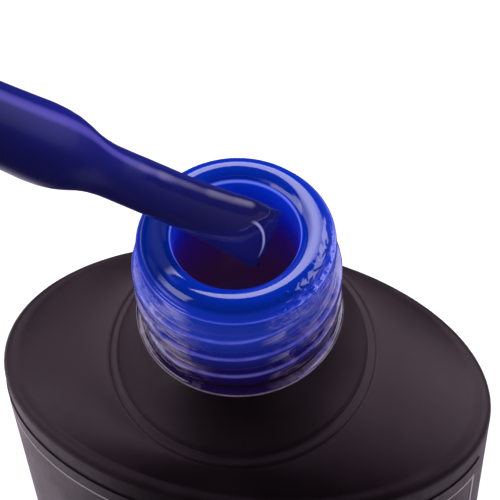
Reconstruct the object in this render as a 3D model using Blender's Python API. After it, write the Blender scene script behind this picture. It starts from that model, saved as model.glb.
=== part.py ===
"""Oval gel polish bottle, standing open, with its brush wand held tilted over the neck.

Metres, +Z up. The origin is the centre of the bottle's flat base. +X runs along the oval's
long side and the front label faces -Y. The wand's pieces hang on an empty at the brush tip,
whose own +Z runs up the wand's axis to the cap.
"""
import math

import bmesh
import bpy
from mathutils import Matrix, Vector

MM = 0.001
GAP = 0.3 * MM  # air between two pieces that touch

# Bottle body, an oval in plan
HALF_LENGTH = 18.7 * MM
HALF_WIDTH = 11.35 * MM
RIM_HEIGHT = 56.2 * MM  # the plane that depths on the neck are measured from
LIP_RISE = 0.55 * MM  # the lip's crown stands this much above that plane
EDGE_HEIGHT = 38.0 * MM  # the shoulder's edge, at the ends of the oval
EDGE_RISE = 0.65 * MM  # the edge is this much higher at the oval's flanks
EDGE_RADIUS = 1.1 * MM
BASE_RADIUS = 1.3 * MM
WALL = 2.1 * MM
FLOOR = 3.0 * MM
FLOOR_RADIUS = 2.4 * MM
POLISH_LEVEL = 41.2 * MM

# Neck, a 15 mm screw finish; depths are below RIM_HEIGHT
LIP_RADIUS = 6.43 * MM
BORE_RADIUS = 4.42 * MM
NECK_ROOT = 6.5 * MM
THREAD_HEIGHT = 0.75 * MM
THREAD_PITCH = 2.2 * MM
THREAD_WIDTH = 1.5 * MM
THREAD_TURNS = 2.35
THREAD_FIRST = 2.75 * MM  # depth of the thread's upper end
THREAD_START = math.radians(-45)  # where round the neck that end is
BEAD_RADIUS = 7.38 * MM
BEAD_DEPTH = 9.0 * MM
SEAT_RADIUS = 9.85 * MM  # the ring that the closed cap stands over
SEAT_DEPTH = 14.75 * MM
COVE_TOP_RADIUS = 7.05 * MM  # of the concave cone between seat and bead
COVE_HOLLOW = 0.28 * MM
SHOULDER_CROWN = 1.35  # above 1, the shoulder rises fastest at its edge

# Wand: heights are above the brush tip, along its axis
TIP = Vector((1.84 * MM, 0.56 * MM, RIM_HEIGHT - 0.6 * MM))
WAND_HEADING = math.radians(203.5)  # where the cap end points, in plan
WAND_LEAN = math.radians(43)  # away from upright
WAND_TURN = math.radians(41)  # turns the flat of the brush about the axis
BRISTLE_WIDTH = 4.1 * MM  # at the tip
BRISTLE_WAIST = 3.0 * MM  # where the tuft is narrowest
BRISTLE_THICKNESS = 1.1 * MM
ROOT_RADIUS = 1.05 * MM  # of the tuft inside the stem
STEM_END = 17.0 * MM
STEM_RADIUS = 2.1 * MM
SOCKET_RADIUS = 1.55 * MM
SOCKET_TOP = 21.4 * MM
FLEX_HEIGHT = 17.4 * MM
SEAL_HEIGHT = 49.0 * MM  # what meets the rim when the bottle is closed
LINER_THICKNESS = 1.0 * MM
LINER_HOLE_RADIUS = 2.85 * MM
FLANGE_RADIUS = 6.35 * MM
FLANGE_THICKNESS = 1.2 * MM
PLUG_RADIUS = 3.0 * MM  # the stem's upper end, pressed through the inner cap
PLUG_LENGTH = 3.3 * MM
INNER_CAP_RADIUS = 8.3 * MM
INNER_CAP_FOOT = 39.2 * MM
INNER_CAP_WALL = 0.7 * MM
INNER_CAP_CROWN = 1.5 * MM
CAP_THREAD_HEIGHT = 0.6 * MM
CAP_THREAD_TURNS = 2.5
CAP_THREAD_FIRST = 1.6 * MM
OVERCAP_RADIUS = 9.8 * MM
OVERCAP_FOOT = 35.6 * MM
OVERCAP_TOP = 69.6 * MM
OVERCAP_WALL = 1.15 * MM
OVERCAP_CORNER = 1.2 * MM
OVERCAP_CROWN = 1.6 * MM  # thickness of its closed top

BALL_RADIUS = 2.0 * MM
BALL_SPACING = 4.8 * MM
BALL_TRACK = 25.2 * MM  # length of the free run along the floor

LABEL_FOOT = 6.0 * MM
LABEL_TOP = 35.2 * MM
LABEL_GAP = 0.15 * MM
LABEL_THICKNESS = 0.2 * MM
LABEL_HALF_ANGLE = math.radians(78)
COLOR_DOT_RADIUS = 6.0 * MM

BODY_SIDES = 48
WAND_SIDES = 32


def mix(a, b, t):
    return a + (b - a) * t


def smooth_step(t):
    t = min(max(t, 0.0), 1.0)
    return t * t * (3 - 2 * t)


def clear_scene():
    for obj in list(bpy.data.objects):
        bpy.data.objects.remove(obj, do_unlink=True)


def material(name, color, roughness, metallic=0.0):
    made = bpy.data.materials.new(name)
    made.use_nodes = True
    shader = made.node_tree.nodes["Principled BSDF"]
    shader.inputs["Base Color"].default_value = (*color, 1.0)
    shader.inputs["Roughness"].default_value = roughness
    shader.inputs["Metallic"].default_value = metallic
    return made


def place(name, mesh, finish, parent=None, at=(0, 0, 0)):
    """A named object with its material, smooth but for its real edges."""
    mesh.shade_smooth()
    mesh.set_sharp_from_angle(angle=math.radians(32))
    mesh.materials.append(finish)
    obj = bpy.data.objects.new(name, mesh)
    bpy.context.scene.collection.objects.link(obj)
    obj.location = at
    obj.parent = parent
    return obj


def mesh_of(bm, name):
    bmesh.ops.recalc_face_normals(bm, faces=bm.faces)
    mesh = bpy.data.meshes.new(name)
    bm.to_mesh(mesh)
    bm.free()
    return mesh


def ring(half_x, half_y, height, count=BODY_SIDES):
    """Points round an oval; height is a number, or a function of the angle."""
    points = []
    for i in range(count):
        angle = 2 * math.pi * i / count
        z = height(angle) if callable(height) else height
        points.append(Vector((half_x * math.cos(angle), half_y * math.sin(angle), z)))
    return points


def lofted(name, rings, closed=False):
    """A skin over rings with equal counts: capped at both ends, or joined end to start."""
    bm = bmesh.new()
    loops = [[bm.verts.new(point) for point in points] for points in rings]
    pairs = list(zip(loops, loops[1:]))
    if closed:
        pairs.append((loops[-1], loops[0]))
    else:
        bm.faces.new(loops[0])
        bm.faces.new(loops[-1])
    for lower, upper in pairs:
        count = len(lower)
        for i in range(count):
            j = (i + 1) % count
            bm.faces.new((lower[i], lower[j], upper[j], upper[i]))
    return mesh_of(bm, name)


def turned(name, outline, closed=False, count=WAND_SIDES):
    """A profile of (radius, height) points spun about Z."""
    bm = bmesh.new()
    verts = [bm.verts.new((radius, 0, height)) for radius, height in outline]
    edges = [bm.edges.new(pair) for pair in zip(verts, verts[1:])]
    if closed:
        edges.append(bm.edges.new((verts[-1], verts[0])))
    bmesh.ops.spin(
        bm, geom=verts + edges, cent=(0, 0, 0), axis=(0, 0, 1),
        angle=2 * math.pi, steps=count, use_merge=True,
    )
    bmesh.ops.remove_doubles(bm, verts=bm.verts, dist=1e-7)
    return mesh_of(bm, name)


def arc(center_radius, center_height, radius, first, last, steps):
    """Points of a profile's round corner, angles in degrees from +radius towards +height."""
    points = []
    for i in range(steps + 1):
        angle = math.radians(mix(first, last, i / steps))
        points.append((
            center_radius + radius * math.cos(angle),
            center_height + radius * math.sin(angle),
        ))
    return points


def thread_ridge(angle, below_first, turns=THREAD_TURNS):
    """0 to 1: how far up a right-hand thread's ridge a point on its cylinder lies.

    below_first is the depth below the thread's upper end, angle is counted from that end.
    """
    wound = (-angle / (2 * math.pi)) % 1.0
    turn = round(below_first / THREAD_PITCH - wound)
    along = turn + wound
    off = abs(below_first - along * THREAD_PITCH)
    flank = smooth_step((THREAD_WIDTH / 2 - off) / (THREAD_WIDTH * 0.36))
    run_in = smooth_step((along + 0.04) / 0.12)
    run_out = smooth_step((turns - along) / 0.12)
    return flank * run_in * run_out


def edge_height(angle):
    return EDGE_HEIGHT + EDGE_RISE * math.sin(angle) ** 2


def body_side_rings():
    """From the flat base up the side to the top of the shoulder's rounded edge."""
    rings = []
    for i in range(4):
        turn = math.radians(30 * i)
        inset = BASE_RADIUS * (1 - math.sin(turn))
        height = BASE_RADIUS * (1 - math.cos(turn))
        rings.append(ring(HALF_LENGTH - inset, HALF_WIDTH - inset, height))
    for i in range(4):
        turn = math.radians(25 * i)
        inset = EDGE_RADIUS * (1 - math.cos(turn))
        drop = EDGE_RADIUS * (1 - math.sin(turn))
        rings.append(ring(
            HALF_LENGTH - inset, HALF_WIDTH - inset * 0.7,
            lambda angle, drop=drop: edge_height(angle) - drop,
        ))
    return rings


def shoulder_rings():
    """From just inside the edge up the sloping shoulder to the cap's seat ring."""
    rings = []
    seat = RIM_HEIGHT - SEAT_DEPTH
    outer_x = HALF_LENGTH - EDGE_RADIUS
    outer_y = HALF_WIDTH - EDGE_RADIUS * 0.6
    steps = 5
    for i in range(steps):
        t = i / steps
        climb = 1 - (1 - t) ** SHOULDER_CROWN
        rings.append(ring(
            mix(outer_x, SEAT_RADIUS, t), mix(outer_y, SEAT_RADIUS, t),
            lambda angle, climb=climb: mix(edge_height(angle), seat - 0.25 * MM, climb),
        ))
    return rings


def seat_and_cove_outline():
    """(radius, depth) down-to-up: seat ring, its groove, and the concave cone to the neck."""
    outline = [
        (SEAT_RADIUS, SEAT_DEPTH + 0.15 * MM),
        (SEAT_RADIUS - 0.08 * MM, SEAT_DEPTH - 0.05 * MM),
        (SEAT_RADIUS - 0.3 * MM, SEAT_DEPTH - 0.15 * MM),
        (SEAT_RADIUS - 0.5 * MM, SEAT_DEPTH - 0.1 * MM),
        (SEAT_RADIUS - 0.65 * MM, SEAT_DEPTH - 0.25 * MM),
    ]
    foot_radius = SEAT_RADIUS - 0.75 * MM
    foot_depth = SEAT_DEPTH - 0.6 * MM
    top_depth = BEAD_DEPTH + 0.55 * MM
    steps = 6
    for i in range(steps + 1):
        t = i / steps
        hollow = COVE_HOLLOW * math.sin(math.pi * t)
        outline.append((
            mix(foot_radius, COVE_TOP_RADIUS, t) - hollow,
            mix(foot_depth, top_depth, t) + hollow * 0.5,
        ))
    return outline


def neck_rings():
    """From the cap's seat up the cove and the threaded neck, over the lip, into the bore."""
    rings = [
        ring(radius, radius, RIM_HEIGHT - depth) for radius, depth in seat_and_cove_outline()
    ]
    bead = [
        (BEAD_RADIUS - 0.12 * MM, BEAD_DEPTH + 0.35 * MM),
        (BEAD_RADIUS, BEAD_DEPTH + 0.1 * MM),
        (BEAD_RADIUS - 0.1 * MM, BEAD_DEPTH - 0.2 * MM),
        (NECK_ROOT + 0.25 * MM, BEAD_DEPTH - 0.45 * MM),
    ]
    rings += [ring(radius, radius, RIM_HEIGHT - depth) for radius, depth in bead]
    step = THREAD_PITCH / 6
    depth = BEAD_DEPTH - 0.75 * MM
    while depth > 0.6 * MM:
        points = []
        for i in range(BODY_SIDES):
            angle = 2 * math.pi * i / BODY_SIDES
            ridge = thread_ridge(angle - THREAD_START, depth - THREAD_FIRST)
            radius = NECK_ROOT - 0.05 * MM + THREAD_HEIGHT * ridge
            points.append(Vector((
                radius * math.cos(angle), radius * math.sin(angle), RIM_HEIGHT - depth,
            )))
        rings.append(points)
        depth -= step
    lip = (LIP_RADIUS - BORE_RADIUS) / 2
    for radius, height in arc(BORE_RADIUS + lip, -lip, lip, 15, 180, 6):
        rings.append(ring(radius, radius, RIM_HEIGHT + LIP_RISE + height))
    return rings


def cavity_outline():
    """(half length, half width, height) of the hollow, from the bore down to the floor."""
    long_half = HALF_LENGTH - WALL
    wide_half = HALF_WIDTH - WALL
    outline = [
        (BORE_RADIUS, BORE_RADIUS, RIM_HEIGHT - 6.0 * MM),
        (BORE_RADIUS, BORE_RADIUS, RIM_HEIGHT - 11.2 * MM),
        (BORE_RADIUS + 0.5 * MM, BORE_RADIUS + 0.5 * MM, RIM_HEIGHT - 12.9 * MM),
        (6.5 * MM, 6.1 * MM, RIM_HEIGHT - 14.9 * MM),
        (10.5 * MM, 7.7 * MM, RIM_HEIGHT - 17.2 * MM),
        (14.8 * MM, 8.8 * MM, RIM_HEIGHT - 19.4 * MM),
        (long_half, wide_half, RIM_HEIGHT - 22.0 * MM),
    ]
    for i in range(4):
        turn = math.radians(30 * i)
        inset = FLOOR_RADIUS * (1 - math.cos(turn))
        rise = FLOOR_RADIUS * (1 - math.sin(turn))
        outline.append((long_half - inset, wide_half - inset, FLOOR + rise))
    return outline


def glass_bottle():
    rings = body_side_rings() + shoulder_rings() + neck_rings()
    rings += [ring(*sizes) for sizes in cavity_outline()]
    finish = material("satin_black_glass", (0.014, 0.011, 0.014), 0.38)
    return place("glass_bottle", lofted("glass_bottle", rings), finish)


def polish_fill():
    """The liquid, a solid with a free run along its underside for the mixing balls."""
    rings = []
    for half_x, half_y, height in cavity_outline():
        if height > POLISH_LEVEL + GAP:
            continue
        if height < FLOOR + FLOOR_RADIUS:
            height += GAP
        rings.append(ring(half_x - GAP, half_y - GAP, height))
    mesh = lofted("polish_fill", [ring(6.0 * MM, 5.6 * MM, POLISH_LEVEL)] + rings)
    fill = place("polish_fill", mesh, material("cobalt_gel", (0.0, 0.02, 0.3), 0.1))
    run_height = FLOOR + 2 * BALL_RADIUS + 2 * GAP
    bm = bmesh.new()
    bmesh.ops.create_cube(bm, size=1)
    size = Matrix.Diagonal((BALL_TRACK, 2 * BALL_RADIUS + 2 * GAP, 2 * run_height, 1))
    bmesh.ops.transform(bm, matrix=size, verts=bm.verts)
    cutter = bpy.data.objects.new("ball_run_cutter", mesh_of(bm, "ball_run_cutter"))
    bpy.context.scene.collection.objects.link(cutter)
    cutter.hide_render = True
    cutter.display_type = "WIRE"
    cut = fill.modifiers.new("ball_run", "BOOLEAN")
    cut.operation = "DIFFERENCE"
    cut.solver = "EXACT"
    cut.object = cutter


def mixing_balls():
    steel = material("ball_steel", (0.6, 0.6, 0.62), 0.2, metallic=1.0)
    for number, side in ((1, -1), (2, 1)):
        name = f"mixing_ball_{number}"
        bm = bmesh.new()
        bmesh.ops.create_uvsphere(bm, u_segments=16, v_segments=10, radius=BALL_RADIUS)
        at = (side * BALL_SPACING / 2, 0, FLOOR + GAP + BALL_RADIUS)
        place(name, mesh_of(bm, name), steel, at=at)


def front_label():
    """A thin film curved round the bottle's front."""
    bm = bmesh.new()
    steps = 26
    columns = []
    for i in range(steps + 1):
        angle = -math.pi / 2 + LABEL_HALF_ANGLE * (2 * i / steps - 1)
        column = []
        for lift in (LABEL_GAP, LABEL_GAP + LABEL_THICKNESS):
            x = (HALF_LENGTH + lift) * math.cos(angle)
            y = (HALF_WIDTH + lift) * math.sin(angle)
            column += [bm.verts.new((x, y, LABEL_FOOT)), bm.verts.new((x, y, LABEL_TOP))]
        columns.append((column[0], column[1], column[3], column[2]))
    bm.faces.new(columns[0])
    bm.faces.new(columns[-1])
    for left, right in zip(columns, columns[1:]):
        for i in range(4):
            j = (i + 1) % 4
            bm.faces.new((left[i], left[j], right[j], right[i]))
    finish = material("label_film", (0.02, 0.017, 0.02), 0.45)
    place("front_label", mesh_of(bm, "front_label"), finish)


def wand_frame():
    """The empty that carries the wand: at the brush tip, its Z up the wand's axis."""
    wand = bpy.data.objects.new("wand_axis", None)
    bpy.context.scene.collection.objects.link(wand)
    turn = Matrix.Rotation(WAND_HEADING, 4, "Z")
    turn = turn @ Matrix.Rotation(WAND_LEAN, 4, "Y") @ Matrix.Rotation(WAND_TURN, 4, "Z")
    wand.matrix_world = Matrix.Translation(TIP) @ turn
    return wand


def bristles(wand):
    """The flat tuft: oval in section, widest at its square-cut tip, round at its root."""
    pivot = bpy.data.objects.new("bristle_pivot", None)
    bpy.context.scene.collection.objects.link(pivot)
    pivot.parent = wand
    pivot.location = (0, 0, FLEX_HEIGHT)
    tip = BRISTLE_WIDTH / 2
    waist = BRISTLE_WAIST / 2
    thin = BRISTLE_THICKNESS / 2
    sections = [
        (0.0, tip, thin),
        (3.4 * MM, mix(tip, waist, 0.5), thin * 1.1),
        (6.8 * MM, mix(tip, waist, 0.9), thin * 1.25),
        (11.0 * MM, waist, thin * 1.5),
        (14.5 * MM, waist * 0.93, ROOT_RADIUS * 0.95),
        (STEM_END + GAP, ROOT_RADIUS, ROOT_RADIUS),
        (STEM_END + 2.0 * MM, ROOT_RADIUS * 0.85, ROOT_RADIUS * 0.85),
    ]
    rings = []
    for height, half_x, half_y in sections:
        rings.append(ring(half_x, half_y, height - FLEX_HEIGHT, count=28))
    mesh = lofted("bristles", rings)
    place("bristles", mesh, material("blue_wet_nylon", (0.01, 0.015, 0.2), 0.2), pivot)


def tuft_staple(wand):
    """The anchor wire that pins the tuft's fold in the stem's socket."""
    bm = bmesh.new()
    bmesh.ops.create_cube(bm, size=1)
    size = Matrix.Diagonal((2.5 * MM, 0.5 * MM, 0.9 * MM, 1))
    bmesh.ops.transform(bm, matrix=size, verts=bm.verts)
    finish = material("staple_steel", (0.55, 0.55, 0.57), 0.3, metallic=1.0)
    height = STEM_END + 3.1 * MM
    staple = place("tuft_staple", mesh_of(bm, "tuft_staple"), finish, wand, (0, 0, height))
    edges = staple.modifiers.new("rounded", "BEVEL")
    edges.width = 0.15 * MM
    edges.segments = 2


def stem(wand):
    """The rod: brush socket below, flange under the inner cap, plug through its top."""
    flange = SEAL_HEIGHT + LINER_THICKNESS + GAP
    flange_top = flange + FLANGE_THICKNESS
    plug_top = flange_top + PLUG_LENGTH
    end = 0.4 * MM
    outline = [
        (0, SOCKET_TOP),
        (SOCKET_RADIUS - 0.4 * MM, SOCKET_TOP - 0.1 * MM),
        (SOCKET_RADIUS, SOCKET_TOP - 0.5 * MM),
        (SOCKET_RADIUS, STEM_END),
        *arc(STEM_RADIUS - end, STEM_END + end, end, -60, 0, 3),
        (STEM_RADIUS + 0.05 * MM, 30 * MM),
        (STEM_RADIUS + 0.15 * MM, flange - 1.2 * MM),
        (STEM_RADIUS + 0.35 * MM, flange),
        (FLANGE_RADIUS - 0.15 * MM, flange),
        (FLANGE_RADIUS, flange + 0.15 * MM),
        (FLANGE_RADIUS, flange_top - 0.15 * MM),
        (FLANGE_RADIUS - 0.15 * MM, flange_top),
        (PLUG_RADIUS, flange_top),
        (PLUG_RADIUS, plug_top - 0.4 * MM),
        (PLUG_RADIUS - 0.4 * MM, plug_top),
        (0, plug_top),
    ]
    finish = material("black_polyethylene", (0.02, 0.02, 0.024), 0.4)
    place("stem", turned("stem", outline), finish, wand)


def seal_liner(wand):
    """The soft washer that the rim presses on when the cap is screwed down."""
    inside = LINER_HOLE_RADIUS
    outside = FLANGE_RADIUS - 0.1 * MM
    foot = SEAL_HEIGHT
    top = SEAL_HEIGHT + LINER_THICKNESS
    outline = [
        (inside, foot), (outside - 0.2 * MM, foot), (outside, foot + 0.2 * MM),
        (outside, top), (inside, top),
    ]
    finish = material("white_foam", (0.85, 0.85, 0.83), 0.7)
    place("seal_liner", turned("seal_liner", outline, closed=True), finish, wand)


def inner_cap(wand):
    """The screw cap: a threaded skirt and a top plate with a hole for the stem's plug."""
    root = INNER_CAP_RADIUS - INNER_CAP_WALL
    plate = SEAL_HEIGHT + LINER_THICKNESS + 2 * GAP + FLANGE_THICKNESS
    top = plate + INNER_CAP_CROWN
    hole = PLUG_RADIUS + 0.35 * MM
    pocket = FLANGE_RADIUS + 0.35 * MM
    outside = [
        (root + 0.2 * MM, INNER_CAP_FOOT), (INNER_CAP_RADIUS, INNER_CAP_FOOT),
        (INNER_CAP_RADIUS, top - 0.3 * MM), (INNER_CAP_RADIUS - 0.3 * MM, top),
        (hole, top), (hole, plate), (pocket, plate), (pocket, SEAL_HEIGHT + 0.6 * MM),
    ]
    rings = [ring(radius, radius, height, WAND_SIDES) for radius, height in outside]
    step = THREAD_PITCH / 5
    height = SEAL_HEIGHT
    while height > INNER_CAP_FOOT + 0.5 * MM:
        points = []
        for i in range(WAND_SIDES):
            angle = 2 * math.pi * i / WAND_SIDES
            ridge = thread_ridge(angle, SEAL_HEIGHT - CAP_THREAD_FIRST - height, CAP_THREAD_TURNS)
            radius = root - CAP_THREAD_HEIGHT * ridge
            points.append(Vector((radius * math.cos(angle), radius * math.sin(angle), height)))
        rings.append(points)
        height -= step
    finish = material("black_polypropylene", (0.015, 0.015, 0.017), 0.35)
    place("inner_cap", lofted("inner_cap", rings, closed=True), finish, wand)


def overcap(wand):
    """The long outer shell that the fingers hold, closed at its top."""
    bore = OVERCAP_RADIUS - OVERCAP_WALL
    crown = OVERCAP_CORNER
    ceiling = OVERCAP_TOP - OVERCAP_CROWN
    outline = [
        (0, OVERCAP_TOP),
        *arc(OVERCAP_RADIUS - crown, OVERCAP_TOP - crown, crown, 90, 0, 4),
        (OVERCAP_RADIUS, OVERCAP_FOOT + 0.3 * MM),
        (OVERCAP_RADIUS - 0.3 * MM, OVERCAP_FOOT),
        (bore + 0.3 * MM, OVERCAP_FOOT),
        (bore, OVERCAP_FOOT + 0.3 * MM),
        (bore, ceiling - 0.4 * MM),
        (bore - 0.5 * MM, ceiling),
        (0, ceiling),
    ]
    finish = material("satin_black_shell", (0.014, 0.012, 0.014), 0.4)
    place("overcap", turned("overcap", outline), finish, wand)


def cap_color_dot(wand):
    """The colour dot on the cap's top."""
    foot = OVERCAP_TOP + LABEL_GAP
    top = foot + 0.25 * MM
    outline = [(0, foot), (COLOR_DOT_RADIUS, foot), (COLOR_DOT_RADIUS, top), (0, top)]
    finish = material("cobalt_dot", (0.0, 0.02, 0.35), 0.2)
    place("cap_color_dot", turned("cap_color_dot", outline), finish, wand)


clear_scene()
glass_bottle()
polish_fill()
mixing_balls()
front_label()
wand_empty = wand_frame()
for build in (bristles, tuft_staple, stem, seal_liner, inner_cap, overcap, cap_color_dot):
    build(wand_empty)
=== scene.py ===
import math

import bpy
import numpy as np
from mathutils import Matrix, Vector, noise

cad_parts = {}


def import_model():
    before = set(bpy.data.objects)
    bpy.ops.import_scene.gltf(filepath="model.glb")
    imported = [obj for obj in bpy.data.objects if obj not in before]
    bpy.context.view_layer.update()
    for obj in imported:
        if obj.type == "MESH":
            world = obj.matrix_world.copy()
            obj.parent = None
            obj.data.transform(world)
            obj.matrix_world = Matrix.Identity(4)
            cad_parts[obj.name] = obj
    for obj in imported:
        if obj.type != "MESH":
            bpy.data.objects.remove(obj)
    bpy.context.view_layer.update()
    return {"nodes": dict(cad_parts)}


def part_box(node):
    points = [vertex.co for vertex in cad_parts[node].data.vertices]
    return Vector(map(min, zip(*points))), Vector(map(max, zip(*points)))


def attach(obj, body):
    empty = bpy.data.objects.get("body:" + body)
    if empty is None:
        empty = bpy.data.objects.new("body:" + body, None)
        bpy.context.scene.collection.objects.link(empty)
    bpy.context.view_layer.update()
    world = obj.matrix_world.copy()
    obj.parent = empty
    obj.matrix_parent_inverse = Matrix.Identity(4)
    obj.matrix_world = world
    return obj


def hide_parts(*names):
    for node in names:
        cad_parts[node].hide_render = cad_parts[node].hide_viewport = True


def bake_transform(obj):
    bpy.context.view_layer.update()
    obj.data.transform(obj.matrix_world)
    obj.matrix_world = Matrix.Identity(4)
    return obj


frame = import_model()

MM = 0.001

# Bottle, from its CAD box and the part's driving dimensions
bottle_low, bottle_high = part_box("glass_bottle")
HALF_LENGTH = bottle_high.x
HALF_WIDTH = bottle_high.y
LIP_RISE = 0.55 * MM
RIM = bottle_high.z - LIP_RISE  # the plane that the neck's depths are measured from
EDGE_HEIGHT = 38.0 * MM
EDGE_RISE = 0.65 * MM
EDGE_RADIUS = 1.1 * MM
BASE_RADIUS = 1.3 * MM
WALL = 2.1 * MM
FLOOR_TOP = 3.0 * MM
FLOOR_RADIUS = 2.4 * MM
SHOULDER_CROWN = 1.35

# Neck; depths are below the rim
LIP_RADIUS = 6.43 * MM
BORE_RADIUS = 4.42 * MM
NECK_ROOT = 6.45 * MM
THREAD_HEIGHT = 0.75 * MM
THREAD_PITCH = 2.2 * MM
THREAD_TURNS = 2.35
THREAD_FIRST = 2.75 * MM
THREAD_START = math.radians(-45)
GLASS_FLANK = 0.12  # width of the thread's upper flank, in turns
POLISH_FLANK = 0.13
BEAD_RADIUS = 7.38 * MM
BEAD_DEPTH = 9.0 * MM
COLLAR_DEPTH = 0.6 * MM  # where the polish hangs over below the lip
UNDER_POLISH = 0.08 * MM  # how far the glass of the thread lies below the polish's middle
POLISH_FILM = 0.05 * MM  # thickness to each side of that middle
GROOVE_FILL = 0.3 * MM
RIPPLE = 0.06 * MM
SEAT_RADIUS = 9.85 * MM
SEAT_DEPTH = 14.75 * MM
COVE_TOP_RADIUS = 7.05 * MM
COVE_HOLLOW = 0.28 * MM

# Label: the film and the frame line printed on it
LABEL_HALF_ANGLE = 78
LABEL_LIFT = 0.03 * MM
LABEL_THICKNESS = 0.08 * MM
LINE_WIDTH = 0.22 * MM
LINE_MARGIN = 1.6 * MM
LINE_SHY = 0.06  # how far the line stops before the label's ends, in radians
INK_DEPTH = 0.03 * MM

LACQUER = (0.0100, 0.0058, 0.0088)

# Painted shade, reflection and highlights on the polish; bearings are in degrees about the neck
SHADED_DULL_BEARING = 190  # where the lip's gloss is lowered and its colour darkened, painted shade
SIDE_REFLECTIONS = ((230, 0.78), (-24, 0.76))  # bearings of a streaky painted reflection of the side lights, and the cosine of its reach
HIGHLIGHT_LINE_OFF = -0.235  # a ridge's painted highlight line, offset from its middle, in turns of the thread

# Wand: heights are above the brush tip, along its axis
TIP = Vector((1.84 * MM, 0.56 * MM, RIM - 0.6 * MM))
WAND_TURNS = (("Z", 203.5), ("Y", 43.0), ("Z", 41.0))
STEM_END = 17.0 * MM
STEM_RADIUS = 2.1 * MM
SOCKET_RADIUS = 1.55 * MM
SOCKET_TOP = 21.4 * MM
SEAL_HEIGHT = 49.0 * MM
LINER_THICKNESS = 1.0 * MM
FLANGE_RADIUS = 6.35 * MM
FLANGE_THICKNESS = 1.2 * MM
PLUG_RADIUS = 3.0 * MM
LINER_BORE = 2.85 * MM
LINER_RADIUS = 6.25 * MM
GAP = 0.3 * MM  # between touching pieces
INNER_CAP_RADIUS = 8.3 * MM
INNER_CAP_ROOT = 7.6 * MM
INNER_CAP_FOOT = 39.2 * MM
OVERCAP_RADIUS = 9.8 * MM
OVERCAP_BORE = 8.65 * MM
OVERCAP_FOOT = 35.6 * MM
OVERCAP_TOP = 69.6 * MM
DOT_RADIUS = 6.0 * MM
DOT_FOOT = 69.75 * MM
DOT_THICKNESS = 0.25 * MM
MIDDLE = 0.01 * MM  # radius at which a turned outline ends on its axis
REST_PLACE = "rest_place"  # the attribute that holds the brush polish's pattern to its mesh
TIP_HIGHLIGHT_ACROSS = 1.2 * MM  # middle and radius of the painted highlight's arc where the polish curls over the brush tip
TIP_HIGHLIGHT_HEIGHT = 2.0 * MM
TIP_HIGHLIGHT_RADIUS = 1.8 * MM
STREAK_HIGHLIGHT_BEARING = 134  # of a painted highlight streak along the stem, in degrees about the wand's axis

SIDES = 256


def mix(a, b, t):
    """a at 0 and b at 1."""
    return a + (b - a) * t


def smooth(t):
    """0 to 1 with soft ends, held outside them."""
    t = np.clip(t, 0.0, 1.0)
    return t * t * (3 - 2 * t)


# ---------------------------------------------------------------- meshes


def object_of(name, vertices, faces, finish):
    """A smooth-shaded mesh object in the scene."""
    mesh = bpy.data.meshes.new(name)
    mesh.from_pydata(vertices, [], faces)
    mesh.validate()
    mesh.shade_smooth()
    mesh.materials.append(finish)
    made = bpy.data.objects.new(name, mesh)
    bpy.context.scene.collection.objects.link(made)
    return made


def lofted(name, rings, finish, ends="caps"):
    """A skin over an (n, m, 3) array of closed rings; ends are caps, or joined to each other."""
    n, m, _ = rings.shape
    vertices = [tuple(p) for p in rings.reshape(-1, 3)]
    faces = []
    rows = n if ends == "joined" else n - 1
    for i in range(rows):
        a = i * m
        b = ((i + 1) % n) * m
        for j in range(m):
            k = (j + 1) % m
            faces.append((a + j, a + k, b + k, b + j))
    if ends == "caps":
        faces.append(tuple(range(m - 1, -1, -1)))
        faces.append(tuple((n - 1) * m + j for j in range(m)))
    return object_of(name, vertices, faces, finish)


def full_turn(count):
    """Evenly spaced angles once round, without the last."""
    return np.linspace(0, 2 * math.pi, count, endpoint=False)


def ellipse(half_x, half_y, height):
    """A ring whose height is a number, or a function of the angle."""
    angle = full_turn(SIDES)
    z = height(angle) if callable(height) else np.full(SIDES, height)
    return np.stack([half_x * np.cos(angle), half_y * np.sin(angle), z], -1)


def ring(radius, height, angle):
    """A level ring, whose radius may change with the angle."""
    return np.stack([radius * np.cos(angle), radius * np.sin(angle),
                     np.full(len(angle), height)], -1)


def turned(name, outline, finish, count, closed=False):
    """A (radius, height) outline spun about Z."""
    rings = [ring(r, z, full_turn(count)) for r, z in outline]
    return lofted(name, np.array(rings), finish, "joined" if closed else "caps")


def rounded(outline, radius, steps=5, closed=False):
    """The outline with each corner turned into a small arc."""
    points = [Vector(p) for p in outline]
    count = len(points)
    result = []
    for i, p in enumerate(points):
        if not closed and i in (0, count - 1):
            result.append(tuple(p))
            continue
        before = points[i - 1] - p
        after = points[(i + 1) % count] - p
        reach = min(radius, before.length * 0.45, after.length * 0.45)
        start = p + before.normalized() * reach
        end = p + after.normalized() * reach
        for k in range(steps + 1):
            t = k / steps
            result.append(tuple(start * (1 - t) ** 2 + p * 2 * t * (1 - t) + end * t ** 2))
    return result


# ---------------------------------------------------------------- materials


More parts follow.
